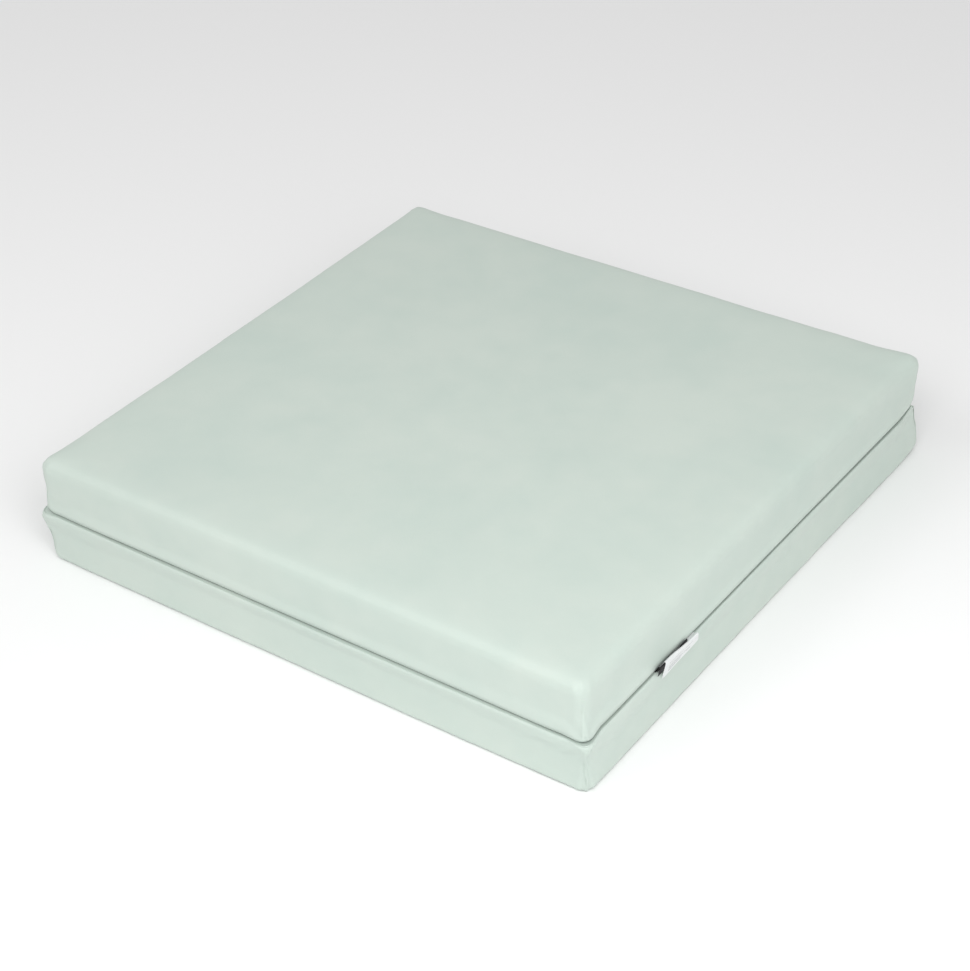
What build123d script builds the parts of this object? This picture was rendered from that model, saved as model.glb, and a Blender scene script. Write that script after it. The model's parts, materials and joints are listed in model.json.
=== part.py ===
"""Bi-fold pressure relief mattress, folded in two for storage.

Two equal sections lie one on the other, base to base, and are joined along one end by a
fabric hinge. Each section is a zipped, coated cover over a fire sock, two firm side
bolsters, a base foam and a comfort foam cut into blocks.

Frame: +Z up, the origin on the floor under the middle of the sections. The hinge line runs
along Y at the -X end, and the zips are on the +Y side. Lengths are in millimetres.
"""

import os

from build123d import *

# --- driving dimensions ------------------------------------------------------------------

# Sections
section_length = 950.0  # along X, half of the opened length
section_width = 900.0  # along Y, the mattress's width
section_thickness = 84.0
section_gap = 4.0  # between the two base panels when folded

# Cover
cover_wall = 1.0  # coated stretch fabric
base_panel_thickness = 1.0
corner_radius = 24.0  # in plan
edge_radius = 18.0  # soft edge round the lying face
welt_proud = 1.2  # bound seam between the side walls and the base panel
welt_height = 3.0
welt_rounding = 0.5
corner_seam_proud = 0.8
corner_seam_width = 2.4

# Core
zip_room = 2.0  # between the cover's wall and the fire sock
face_slack = 0.4  # between the cover's flat faces and the fire sock
sock_wall = 0.5
sock_hem = 80.0  # border of the fire sock that turns over the base foam
core_slack = 0.2  # between the fire sock and the foam
bolster_width = 60.0
comfort_thickness = 36.0
block_pitch = 66.0
groove_width = 6.0
groove_depth = 24.0

# Zip
zip_end_margin = 45.0  # from each end of the section to the slot
zip_from_base = 28.0  # centre of the zip below the base panel's face
slot_clearance = 0.6  # between the slot's edge and the coil
tape_width = 14.0
tape_thickness = 0.6
tape_overrun = 12.0  # tape past each end of the slot
chain_width = 5.8
chain_thickness = 2.0
chain_split = 1.2  # between the two rows of the coil
stop_length = 3.0
stop_thickness = 2.6
slider_length = 9.0
slider_clearance = 0.2
wing_thickness = 0.8
flange_thickness = 0.8
flange_reach = 0.7  # how far the outer wing's flanges come down beside the coil
slider_corner = 1.2
post_length = 1.6
bail_length = 7.0
bail_height = 3.2
bail_width = 2.2
bail_stock = 0.8
pull_length = 30.0
pull_arm_width = 1.7
pull_thickness = 1.4
pull_tip_radius = 2.0
pull_side_clearance = 0.4  # between the bail and each of the pull's arms
pull_end_clearance = 2.1  # between the bail and the solid part of the pull
pull_hole_radius = 1.3

# Hinge
hinge_setback = 6.0  # from the sections' end faces to the hinge line
hinge_strip_thickness = 0.8
hinge_strip_overlap = 50.0  # sewn to the base panel
hinge_strip_inset = 20.0  # short of the section at each side
hinge_line_gap = 0.3  # from each strip's edge to the hinge line

# Label and ribbon, on the lower section's free end
label_width = 84.0
label_from_side = 214.0  # from the section's -Y side to the label's middle
label_rise = 9.5  # inner leg, above the base panel's face
label_drop = 17.0  # front leg, below the base panel's face
ribbon_width = 71.0
ribbon_from_side = 196.0
ribbon_rise = 11.5
tape_stock = 0.5  # thickness of the woven label and of the ribbon
fold_radius = 0.6  # inside the folds of both
seam_tuck = 12.0  # sewn to the base panel's face
label_clearance = 0.3

# --- derived places ----------------------------------------------------------------------

fold_height = section_thickness + section_gap / 2
hinge_x = -section_length / 2 - hinge_setback
side_y = section_width / 2
end_x = section_length / 2
shell_height = section_thickness - base_panel_thickness
corner_inset = corner_radius * (1 - 0.5**0.5)  # from a square corner to the rounded one
corner_seam_height = section_thickness - welt_height - edge_radius

sock_inset = cover_wall + zip_room
foam_inset = sock_inset + sock_wall + core_slack
sock_bottom = cover_wall + face_slack
sock_top = shell_height - face_slack
foam_bottom = sock_bottom + sock_wall + core_slack
foam_top = sock_top - sock_wall - core_slack
foam_length = section_length - 2 * foam_inset
foam_width = section_width - 2 * foam_inset
mid_width = foam_width - 2 * bolster_width
comfort_top = foam_bottom + comfort_thickness
blocks_along = round(foam_length / block_pitch)
blocks_across = round(mid_width / block_pitch)

zip_z = section_thickness - zip_from_base
zip_length = section_length - 2 * zip_end_margin
zip_slot_width = chain_width + 2 * slot_clearance
tape_inner_y = side_y - cover_wall - tape_thickness
chain_inner_y = side_y - cover_wall
chain_outer_y = chain_inner_y + chain_thickness
chain_length = zip_length - 2 * stop_length
wing_inner_y = chain_outer_y + slider_clearance
wing_outer_y = wing_inner_y + wing_thickness
inner_wing_y = tape_inner_y - slider_clearance - wing_thickness
slider_width = chain_width + 2 * (slider_clearance + flange_thickness)
slider_x = chain_length / 2 - slider_length / 2 - slider_clearance
zip_travel = chain_length - slider_length - 2 * slider_clearance
bail_open_height = bail_height - bail_stock
pull_axis_y = wing_outer_y + bail_open_height / 2
pull_arm_gap = bail_width + 2 * pull_side_clearance
pull_width = pull_arm_gap + 2 * pull_arm_width
pull_eye_length = bail_length / 2 + pull_end_clearance  # from the pull's axis to its solid part

# --- one section, as the lower one lies: lying face down, base panel up ------------------

with BuildPart() as cover_shell:
    with BuildSketch():
        RectangleRounded(section_length, section_width, corner_radius)
    extrude(amount=shell_height)
    fillet(cover_shell.faces().sort_by(Axis.Z)[0].edges(), edge_radius)
    offset(amount=-cover_wall, openings=cover_shell.faces().sort_by(Axis.Z)[-1])
    with Locations((0, side_y - cover_wall / 2, zip_z)):
        Box(zip_length, 2 * cover_wall, zip_slot_width, mode=Mode.SUBTRACT)

with BuildPart() as base_panel:
    with BuildSketch(Plane.XY.offset(shell_height)):
        RectangleRounded(section_length, section_width, corner_radius)
    extrude(amount=base_panel_thickness)

with BuildPart() as seam_welt:
    with BuildSketch(Plane.XY.offset(section_thickness - welt_height)):
        RectangleRounded(
            section_length + 2 * welt_proud,
            section_width + 2 * welt_proud,
            corner_radius + welt_proud,
        )
        RectangleRounded(section_length, section_width, corner_radius, mode=Mode.SUBTRACT)
    extrude(amount=welt_height)
    for end_face in seam_welt.faces() | Plane.XY:
        fillet(end_face.outer_wire().edges(), welt_rounding)

with BuildPart() as corner_seams:
    with BuildSketch(Plane.XY.offset(edge_radius)):
        RectangleRounded(
            section_length + 2 * corner_seam_proud,
            section_width + 2 * corner_seam_proud,
            corner_radius + corner_seam_proud,
        )
        RectangleRounded(section_length, section_width, corner_radius, mode=Mode.SUBTRACT)
    extrude(amount=corner_seam_height)
    with BuildSketch(Plane.XY.offset(edge_radius)):
        for side_x in (-1, 1):
            for side in (-1, 1):
                corner = (side_x * (end_x - corner_inset), side * (side_y - corner_inset))
                with Locations(corner):
                    Rectangle(4 * corner_seam_proud, corner_seam_width, rotation=45 * side_x * side)
    extrude(amount=corner_seam_height, mode=Mode.INTERSECT)

with BuildPart() as fire_sock:
    with BuildSketch(Plane.XY.offset(sock_bottom)):
        RectangleRounded(
            section_length - 2 * sock_inset,
            section_width - 2 * sock_inset,
            corner_radius - sock_inset,
        )
    extrude(amount=sock_top - sock_bottom)
    fillet(fire_sock.faces().sort_by(Axis.Z)[0].edges(), edge_radius - sock_inset)
    offset(amount=-sock_wall, openings=fire_sock.faces().sort_by(Axis.Z)[-1])
    with BuildSketch(Plane.XY.offset(sock_top - sock_wall)):
        RectangleRounded(
            section_length - 2 * sock_inset,
            section_width - 2 * sock_inset,
            corner_radius - sock_inset,
        )
        Rectangle(
            section_length - 2 * (sock_inset + sock_hem),
            section_width - 2 * (sock_inset + sock_hem),
            mode=Mode.SUBTRACT,
        )
    extrude(amount=sock_wall)

# The core's envelope, cut into the bolsters, the base foam and the comfort foam
with BuildPart() as core_envelope:
    with BuildSketch(Plane.XY.offset(foam_bottom)):
        RectangleRounded(foam_length, foam_width, corner_radius - foam_inset)
    extrude(amount=foam_top - foam_bottom)
    fillet(core_envelope.faces().sort_by(Axis.Z)[0].edges(), edge_radius - foam_inset)

with BuildPart() as side_bolsters:
    add(core_envelope.part)
    Box(foam_length, mid_width, 2 * section_thickness, mode=Mode.SUBTRACT)

with BuildPart() as base_foam:
    add(core_envelope.part)
    with BuildSketch(Plane.XY.offset(comfort_top)):
        Rectangle(foam_length, mid_width)
    extrude(amount=foam_top - comfort_top, mode=Mode.INTERSECT)

with BuildPart() as comfort_foam:
    add(core_envelope.part)
    with BuildSketch(Plane.XY.offset(foam_bottom)):
        Rectangle(foam_length, mid_width)
    extrude(amount=comfort_thickness, mode=Mode.INTERSECT)
    with BuildSketch(Plane.XY.offset(foam_bottom)):
        with GridLocations(foam_length / blocks_along, 1, blocks_along - 1, 1):
            Rectangle(groove_width, mid_width)
        with GridLocations(1, mid_width / blocks_across, 1, blocks_across - 1):
            Rectangle(foam_length, groove_width)
    extrude(amount=groove_depth, mode=Mode.SUBTRACT)

# --- the zip, in the wall on the +Y side, closed -----------------------------------------

# Planes that face +Y: a sketch's x runs along X and its y runs along Z, up from the zip


def zip_plane(y):
    """The plane at y whose origin is on the zip's line and whose normal is +Y."""
    return Plane((0, y, zip_z), x_dir=(-1, 0, 0), z_dir=(0, 1, 0))


with BuildPart() as zip_tapes:
    with BuildSketch(zip_plane(tape_inner_y)):
        with GridLocations(1, tape_width + chain_split, 1, 2):
            Rectangle(zip_length + 2 * tape_overrun, tape_width)
    extrude(amount=tape_thickness)

with BuildPart() as zip_chain:
    with BuildSketch(zip_plane(chain_inner_y)):
        with GridLocations(1, (chain_width + chain_split) / 2, 1, 2):
            Rectangle(chain_length, (chain_width - chain_split) / 2)
    extrude(amount=chain_thickness)

with BuildPart() as zip_stops:
    with BuildSketch(zip_plane(chain_inner_y)):
        with GridLocations(chain_length + stop_length, 1, 2, 1):
            Rectangle(stop_length, chain_width)
    extrude(amount=stop_thickness)

with BuildPart() as zip_slider:
    for wing_y in (inner_wing_y, wing_inner_y):
        with BuildSketch(zip_plane(wing_y)):
            with Locations((-slider_x, 0)):
                RectangleRounded(slider_length, slider_width, slider_corner)
        extrude(amount=wing_thickness)
    with BuildSketch(zip_plane(inner_wing_y)):
        with Locations((-slider_x, 0)):
            Rectangle(post_length, chain_split - 2 * slider_clearance)
    extrude(amount=wing_outer_y - inner_wing_y)
    with BuildSketch(zip_plane(wing_inner_y - flange_reach)):
        with Locations((-slider_x, 0)):
            with GridLocations(1, slider_width - flange_thickness, 1, 2):
                Rectangle(slider_length - 2 * slider_corner, flange_thickness)
    extrude(amount=flange_reach)
    with BuildSketch(Plane.XY.offset(zip_z - bail_width / 2)):
        with Locations((slider_x, wing_outer_y)):
            Rectangle(bail_length, bail_height, align=(Align.CENTER, Align.MIN))
            Rectangle(
                bail_length - 2 * bail_stock,
                bail_height - bail_stock,
                align=(Align.CENTER, Align.MIN),
                mode=Mode.SUBTRACT,
            )
    extrude(amount=bail_width)

with BuildPart() as zip_pull:
    with BuildSketch(zip_plane(pull_axis_y - pull_thickness / 2)):
        with Locations((-slider_x, 0)):
            Rectangle(pull_length, pull_width, align=(Align.MIN, Align.CENTER))
            Rectangle(pull_eye_length, pull_arm_gap, align=(Align.MIN, Align.CENTER), mode=Mode.SUBTRACT)
        with Locations((pull_length - pull_width / 2 - slider_x, 0)):
            Circle(pull_hole_radius, mode=Mode.SUBTRACT)
    extrude(amount=pull_thickness)
    tip_edges = zip_pull.edges().filter_by(Axis.Y).group_by(Axis.X)[0]
    fillet(tip_edges, pull_tip_radius)
    with BuildSketch(Plane.XY.offset(zip_z - pull_width / 2)):
        with Locations((slider_x, pull_axis_y)):
            Circle(pull_thickness / 2)
    extrude(amount=pull_width)

# --- the hinge and the labels ------------------------------------------------------------

with BuildPart() as hinge_strip:
    with BuildSketch(Plane.XY.offset(section_thickness)):
        with Locations((hinge_x + hinge_line_gap, 0)):
            Rectangle(
                hinge_setback - hinge_line_gap + hinge_strip_overlap,
                section_width - 2 * hinge_strip_inset,
                align=(Align.MIN, Align.CENTER),
            )
    extrude(amount=hinge_strip_thickness)


def woven_loop(centre, width, inner_x, bottom, rise, front_bottom):
    """A flat tape, sewn to the base panel's face, that stands up, folds over and hangs down."""
    fold_outer = fold_radius + tape_stock
    with BuildPart() as loop:
        with BuildSketch(Plane.XZ.offset(width / 2 - centre)):
            with Locations((end_x - seam_tuck, bottom)):
                Rectangle(
                    inner_x + tape_stock - end_x + seam_tuck,
                    tape_stock,
                    align=(Align.MIN, Align.MIN),
                )
            with Locations((inner_x, bottom)):
                Rectangle(tape_stock, rise, align=(Align.MIN, Align.MIN))
            with Locations((inner_x + fold_outer, bottom + rise)):
                Circle(fold_outer)
                Circle(fold_radius, mode=Mode.SUBTRACT)
                Rectangle(
                    2 * fold_radius,
                    2 * fold_outer,
                    align=(Align.CENTER, Align.MAX),
                    mode=Mode.SUBTRACT,
                )
            with Locations((inner_x + 2 * fold_radius + tape_stock, front_bottom)):
                Rectangle(
                    tape_stock,
                    bottom + rise - front_bottom,
                    align=(Align.MIN, Align.MIN),
                )
        extrude(amount=-width)
    return loop


loop_depth = 2 * (fold_radius + tape_stock)
ribbon_x = end_x + welt_proud + label_clearance
ribbon_bottom = section_thickness + tape_stock
ribbon_tab = woven_loop(
    ribbon_from_side - side_y,
    ribbon_width,
    ribbon_x,
    ribbon_bottom,
    ribbon_rise,
    ribbon_bottom + label_clearance,
)
care_label = woven_loop(
    label_from_side - side_y,
    label_width,
    ribbon_x + loop_depth + label_clearance,
    section_thickness,
    label_rise,
    section_thickness - label_drop,
)

# --- write every piece -------------------------------------------------------------------

section_pieces = {
    "cover_shell": cover_shell,
    "base_panel": base_panel,
    "seam_welt": seam_welt,
    "corner_seams": corner_seams,
    "fire_sock": fire_sock,
    "side_bolsters": side_bolsters,
    "base_foam": base_foam,
    "comfort_foam": comfort_foam,
    "zip_tapes": zip_tapes,
    "zip_chain": zip_chain,
    "zip_stops": zip_stops,
    "zip_slider": zip_slider,
    "zip_pull": zip_pull,
    "hinge_strip": hinge_strip,
}

os.makedirs("parts", exist_ok=True)


def write(piece, name):
    """Label the piece and write it as parts/name.step."""
    piece.part.label = name
    export_step(piece.part, f"parts/{name}.step")


for name, piece in section_pieces.items():
    with BuildPart() as upper_piece:
        mirror(piece.part, about=Plane.XY.offset(fold_height))
    write(piece, f"lower_{name}")
    write(upper_piece, f"upper_{name}")

write(care_label, "care_label")
write(ribbon_tab, "ribbon_tab")

print(f"hinge line: x {hinge_x}, z {fold_height}")
print(f"slider at x {slider_x}, travel {zip_travel}, zip at z {zip_z}")
print(f"pull axis: y {pull_axis_y}")
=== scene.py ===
"""The looks of the two-section pressure relief mattress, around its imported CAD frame.

The mattress lies folded: the lower section with its lying face down, the upper one with its
lying face up, base to base, joined by a fabric web at the -X end. Pieces of a section are
modelled as the lower one lies, and the upper section's are mirrored about the fold plane.
All lengths are in metres.
"""

import json
import math

import bpy
import numpy as np
from mathutils import Matrix, Vector, noise


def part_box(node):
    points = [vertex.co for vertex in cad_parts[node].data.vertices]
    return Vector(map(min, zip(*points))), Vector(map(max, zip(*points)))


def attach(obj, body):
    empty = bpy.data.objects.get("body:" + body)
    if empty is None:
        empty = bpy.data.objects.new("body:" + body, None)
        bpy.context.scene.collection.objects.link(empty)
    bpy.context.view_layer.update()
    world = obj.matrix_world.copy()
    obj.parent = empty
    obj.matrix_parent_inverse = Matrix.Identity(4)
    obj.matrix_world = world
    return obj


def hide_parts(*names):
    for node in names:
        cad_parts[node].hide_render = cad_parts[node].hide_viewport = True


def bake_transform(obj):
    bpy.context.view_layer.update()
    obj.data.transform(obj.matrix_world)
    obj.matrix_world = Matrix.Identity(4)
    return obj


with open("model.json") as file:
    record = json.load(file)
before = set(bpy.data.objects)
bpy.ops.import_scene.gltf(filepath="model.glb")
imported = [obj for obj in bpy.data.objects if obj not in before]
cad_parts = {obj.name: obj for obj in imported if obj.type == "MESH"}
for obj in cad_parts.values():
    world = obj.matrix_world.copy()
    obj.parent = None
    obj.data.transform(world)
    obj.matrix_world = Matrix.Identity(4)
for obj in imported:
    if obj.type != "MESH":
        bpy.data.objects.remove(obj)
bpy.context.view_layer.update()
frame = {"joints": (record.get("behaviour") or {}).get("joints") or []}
scene = bpy.context.scene

# --- sizes, all from the frame -----------------------------------------------------------

shell_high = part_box("lower_cover_shell")[1]
panel_low, panel_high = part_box("lower_base_panel")
comfort_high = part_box("lower_comfort_foam")[1]
strip_low, strip_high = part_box("lower_hinge_strip")
chain_low, chain_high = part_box("lower_zip_chain")
tape_low, tape_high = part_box("lower_zip_tapes")
label_low, label_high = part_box("care_label")
ribbon_low, ribbon_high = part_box("ribbon_tab")
hinge = next(joint for joint in frame["joints"] if joint["name"] == "fold_hinge")

END_X = shell_high.x
SIDE_Y = shell_high.y
HINGE_X = hinge["pos_m"][0]
FOLD_Z = hinge["pos_m"][2]
ZIP_Z = (chain_low.z + chain_high.z) / 2
MM = 0.001

CORNERS = ((1, 1), (1, -1), (-1, -1), (-1, 1))
WALLS = ((1, 0), (-1, 0), (0, 1), (0, -1))


def each(places, *millimetres):
    return dict(zip(places, (length * MM for length in millimetres)))


# Each section's shape. The rim is its edge at the base seam and the foot is its edge at the lying
# face. Walls and corners go by the signs of their x and y, so (1, -1) is the +X, -Y corner.
#   trim_x, trim_y   how far the outline stands out of the CAD shell
#   plan_radius      rounding of the upright corners
#   face_radius      rounding of the lying face's edge
#   face_lift        how far the lying face swells past the shell
#   bow              how far the middle of a wall stands out
#   rim_pinch        how far a corner is drawn in at the rim
#   foot_pinch       how far a corner is drawn in at the foot
#   foot_move        a further move of a corner at the foot
#   rim_corner       how far a corner of the rim points out
#   rim_shift        how far the base seam wanders up along a wall
#   gathers          size of the puckers at a corner of the lying face
#   seam_proud       how far a corner seam stands out
#   seed             where the section takes its unevenness from
SECTIONS = {
    "lower": {
        "trim_x": -1 * MM,
        "trim_y": 6 * MM,
        "plan_radius": 18 * MM,
        "face_radius": 8 * MM,
        "face_lift": 0.0,
        "bow": each(WALLS, -2.5, 0, 0, 2),
        "rim_pinch": each(CORNERS, 10, 2, 0, 3),
        "foot_pinch": each(CORNERS, -2, 1, 1, 2),
        "foot_move": {(1, 1): Vector((-1.5, 6.5, 6)) * MM},
        "rim_corner": each(CORNERS, 0, 9, 6, 4),
        "rim_shift": {(1, 0): 2.2 * MM, (0, -1): -2.0 * MM},
        "gathers": each(CORNERS, 0.5, 1.3, 0.7, 0.8),
        "seam_proud": 1.1 * MM,
        "seed": Vector((3.1, 7.7, 1.3)),
    },
    "upper": {
        "trim_x": -5 * MM,
        "trim_y": 2.5 * MM,
        "plan_radius": 20 * MM,
        "face_radius": 20 * MM,
        "face_lift": 1 * MM,
        "bow": each(WALLS, -1, -1.5, -1.5, 0),
        "rim_pinch": each(CORNERS, 5, 2, 2, 3),
        "foot_pinch": each(CORNERS, -6, -1, -2.5, -2),
        "foot_move": {},
        "rim_corner": each(CORNERS, 0, 9, 3, 3),
        "rim_shift": {(1, 0): -2.2 * MM, (0, -1): 2.0 * MM},
        "gathers": each(CORNERS, 0.3, 0.6, 0.8, 0.6),
        "seam_proud": 0.45 * MM,
        "seed": Vector((11.9, 2.4, 5.8)),
    },
}


# --- working with objects ----------------------------------------------------------------


def use(obj):
    """Make obj the one that is selected and active."""
    if bpy.context.mode != "OBJECT":
        bpy.ops.object.mode_set(mode="OBJECT")
    bpy.ops.object.select_all(action="DESELECT")
    obj.select_set(True)
    bpy.context.view_layer.objects.active = obj


def edit(obj, kind, test):
    """Open obj for editing with only the vertices, edges or faces that pass the test chosen."""
    use(obj)
    bpy.ops.object.mode_set(mode="EDIT")
    bpy.ops.mesh.select_mode(type={"vertices": "VERT", "edges": "EDGE", "polygons": "FACE"}[kind])
    bpy.ops.mesh.select_all(action="DESELECT")
    bpy.ops.object.mode_set(mode="OBJECT")
    points = obj.data.vertices
    for part in getattr(obj.data, kind):
        chosen = test(part if kind != "edges" else [points[i].co for i in part.vertices])
        part.select = bool(chosen)
    bpy.ops.object.mode_set(mode="EDIT")


def bevel_edges(obj, width, segments, test=lambda ends: True):
    """Round the edges whose ends pass the test, and stay in editing."""
    edit(obj, "edges", test)
    bpy.ops.mesh.bevel(offset=width, segments=segments)


def add_cube(name, low, high):
    """A box from low to high, its place in its mesh."""
    bpy.ops.mesh.primitive_cube_add(size=1, location=(Vector(low) + Vector(high)) / 2)
    obj = bpy.context.object
    obj.name = obj.data.name = name
    obj.scale = Vector(high) - Vector(low)
    bpy.ops.object.transform_apply(location=True, rotation=True, scale=True)
    return obj


def apply_modifiers(obj):
    use(obj)
    for modifier in list(obj.modifiers):
        bpy.ops.object.modifier_apply(modifier=modifier.name)


def coordinates(obj):
    points = np.empty(len(obj.data.vertices) * 3)
    obj.data.vertices.foreach_get("co", points)
    return points.reshape(-1, 3)


def set_coordinates(obj, points):
    obj.data.vertices.foreach_set("co", points.ravel())
    obj.data.update()


def add_sheet(name, columns, rows, place):
    """A divided sheet: place(u, v) gives the points' x, y and z for u, v from 0 to 1."""
    bpy.ops.mesh.primitive_grid_add(
        x_subdivisions=columns, y_subdivisions=rows, size=1, location=(0.5, 0.5, 0)
    )
    obj = bpy.context.object
    obj.name = obj.data.name = name
    bpy.ops.object.transform_apply(location=True, rotation=True, scale=True)
    u, v, _ = coordinates(obj).T
    set_coordinates(obj, np.stack(np.broadcast_arrays(*place(u, v)), axis=1))
    return obj


def turn_outward(obj):
    use(obj)
    bpy.ops.object.mode_set(mode="EDIT")
    bpy.ops.mesh.select_all(action="SELECT")
    bpy.ops.mesh.normals_make_consistent(inside=False)
    bpy.ops.object.mode_set(mode="OBJECT")


def thicken(obj, thickness, offset=0.0, rounding=0.0):
    """Give a sheet its thickness, half to each side or set to one side, and round its edges."""
    wall = obj.modifiers.new("wall", "SOLIDIFY")
    wall.thickness = thickness
    wall.offset = offset
    if rounding:
        soften_edges(obj, rounding, 3)
    apply_modifiers(obj)
    turn_outward(obj)


def repeat(obj, count, step):
    row = obj.modifiers.new("row", "ARRAY")
    row.count = count
    row.use_relative_offset = False
    row.use_constant_offset = True
    row.constant_offset_displace = step
    apply_modifiers(obj)


def soften_edges(obj, width, segments=2, degrees=40):
    rounding = obj.modifiers.new("rounding", "BEVEL")
    rounding.width = width
    rounding.segments = segments
    rounding.limit_method = "ANGLE"
    rounding.angle_limit = math.radians(degrees)


def hug(obj, target, offset, mode="OUTSIDE"):
    """Lay a sheet's points on the target, or only lift out those that are inside it."""
    wrap = obj.modifiers.new("hug", "SHRINKWRAP")
    wrap.target = target
    wrap.wrap_method = "NEAREST_SURFACEPOINT"
    wrap.wrap_mode = mode
    wrap.offset = offset
    apply_modifiers(obj)


def rounded_path(corners, radius, count):
    """Points evenly along a path of straight runs whose corners are arcs, as (across, up)."""
    steps = [np.array(corners[0])]
    for before, corner, after in zip(corners, corners[1:], corners[2:]):
        before, corner, after = (np.array(point) for point in (before, corner, after))
        back, on = before - corner, after - corner
        back_length, on_length = np.linalg.norm(back), np.linalg.norm(on)
        reach = min(radius, 0.5 * back_length, 0.5 * on_length)
        start, finish = corner + back / back_length * reach, corner + on / on_length * reach
        for t in np.linspace(0, 1, 9):
            steps.append((1 - t) ** 2 * start + 2 * t * (1 - t) * corner + t**2 * finish)
    steps.append(np.array(corners[-1]))
    steps = np.array(steps)
    lengths = np.concatenate([[0], np.cumsum(np.linalg.norm(np.diff(steps, axis=0), axis=1))])
    even = np.linspace(0, lengths[-1], count)
    return np.stack([np.interp(even, lengths, steps[:, axis]) for axis in range(2)], axis=1)


def smooth(obj, degrees=None):
    use(obj)
    if degrees is None:
        bpy.ops.object.shade_smooth()
    else:
        bpy.ops.object.shade_smooth_by_angle(angle=math.radians(degrees))


def join(name, pieces):
    use(pieces[0])
    for piece in pieces:
        piece.select_set(True)
    bpy.ops.object.join()
    obj = bpy.context.object
    obj.name = obj.data.name = name
    return obj


def to_section(obj, section):
    """Leave a lower section's piece where it is, and mirror an upper one's about the fold plane."""
    if section == "upper":
        points = coordinates(obj)
        points[:, 2] = 2 * FOLD_Z - points[:, 2]
        set_coordinates(obj, points)
        use(obj)
        bpy.ops.object.mode_set(mode="EDIT")
        bpy.ops.mesh.select_all(action="SELECT")
        bpy.ops.mesh.flip_normals()
        bpy.ops.object.mode_set(mode="OBJECT")
    return obj


def finish_piece(obj, material, slot, body, *nodes):
    """Give a piece its finish, set it on its body, and let it stand for its CAD nodes."""
    obj.data.materials.clear()
    obj.data.materials.append(material)
    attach(obj, body)
    if nodes:
        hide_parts(*nodes)
    return obj


def set_in_section(obj, section, material, slot, *nodes):
    """Mirror a piece if its section is the upper one, and finish it as that section's."""
    to_section(obj, section)
    finish_piece(obj, material, slot, f"{section}_section", *(f"{section}_{node}" for node in nodes))
    return obj


def ramp(value, low, high):
    """0 below low, 1 above high, and smooth between them."""
    t = np.clip((value - low) / (high - low), 0, 1)
    return t * t * (3 - 2 * t)


# --- finishes ----------------------------------------------------------------------------


def new_group(name, inputs, outputs):
    """A node group with named number, colour or vector sockets, and its input and output nodes."""
    group = bpy.data.node_groups.new(name, "ShaderNodeTree")
    for title, kind, value in inputs:
        made = group.interface.new_socket(name=title, in_out="INPUT", socket_type="NodeSocket" + kind)
        if value is not None:
            made.default_value = value
    for title, kind in outputs:
        group.interface.new_socket(name=title, in_out="OUTPUT", socket_type="NodeSocket" + kind)
    return group, group.nodes.new("NodeGroupInput"), group.nodes.new("NodeGroupOutput")


def feed(tree, socket, value):
    """Set an input to a value, or link another node's output to it."""
    if isinstance(value, bpy.types.NodeSocket):
        tree.links.new(value, socket)
    else:
        socket.default_value = value


def math_node(tree, operation, *values):
    """A Math node whose inputs are numbers or other nodes' outputs."""
    node = tree.nodes.new("ShaderNodeMath")
    node.operation = operation
    for socket, value in zip(node.inputs, values):
        feed(tree, socket, value)
    return node.outputs[0]


def noise_node(tree, vector, scale, detail=2.0):
    node = tree.nodes.new("ShaderNodeTexNoise")
    node.inputs["Detail"].default_value = detail
    node.inputs["Scale"].default_value = scale
    tree.links.new(vector, node.inputs["Vector"])
    return node.outputs["Fac"]


def mix_colour(tree, blend, factor, first, second):
    node = tree.nodes.new("ShaderNodeMix")
    node.data_type = "RGBA"
    node.blend_type = blend
    for index, value in ((0, factor), (6, first), (7, second)):
        feed(tree, node.inputs[index], value)
    return node.outputs[2]


def rgba(red, green, blue):
    return (red, green, blue, 1.0)


def make_mottle_group():
    """Soft, cloudy unevenness of a coated fabric's colour and gloss."""
    group, given, result = new_group(
        "coated_mottle",
        [
            ("Vector", "Vector", None),
            ("Colour", "Color", rgba(0.6, 0.7, 0.64)),
            ("Shade", "Color", rgba(0.9, 0.93, 0.93)),
            ("Depth", "Float", 0.5),
            ("Roughness", "Float", 0.45),
        ],
        [("Colour", "Color"), ("Roughness", "Float")],
    )
    clouds = noise_node(group, given.outputs["Vector"], 5.0, 3.0)
    patches = noise_node(group, given.outputs["Vector"], 21.0, 2.0)
    both = math_node(group, "MULTIPLY_ADD", patches, 0.5, clouds)
    contrast = math_node(group, "MULTIPLY_ADD", both, 2.6, -1.45)
    shadow = math_node(group, "MAXIMUM", contrast, 0.0)
    amount = math_node(group, "MULTIPLY", shadow, given.outputs["Depth"])
    shaded = mix_colour(group, "MULTIPLY", amount, given.outputs["Colour"], given.outputs["Shade"])
    group.links.new(shaded, result.inputs["Colour"])
    rough = math_node(group, "MULTIPLY_ADD", patches, 0.12, given.outputs["Roughness"])
    group.links.new(rough, result.inputs["Roughness"])
    return group


def make_grain_group():
    """Height of a knitted fabric's fine grain under a soft coating."""
    group, given, result = new_group(
        "coated_grain",
        [("Vector", "Vector", None), ("Pitch", "Float", 900.0), ("Soft", "Float", 0.6)],
        [("Height", "Float")],
    )
    cells = group.nodes.new("ShaderNodeTexVoronoi")
    cells.feature = "SMOOTH_F1"
    group.links.new(given.outputs["Vector"], cells.inputs["Vector"])
    group.links.new(given.outputs["Pitch"], cells.inputs["Scale"])
    broad = noise_node(group, given.outputs["Vector"], 45.0, 3.0)
    height = math_node(group, "MULTIPLY_ADD", broad, given.outputs["Soft"], cells.outputs["Distance"])
    group.links.new(height, result.inputs["Height"])
    return group


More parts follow.
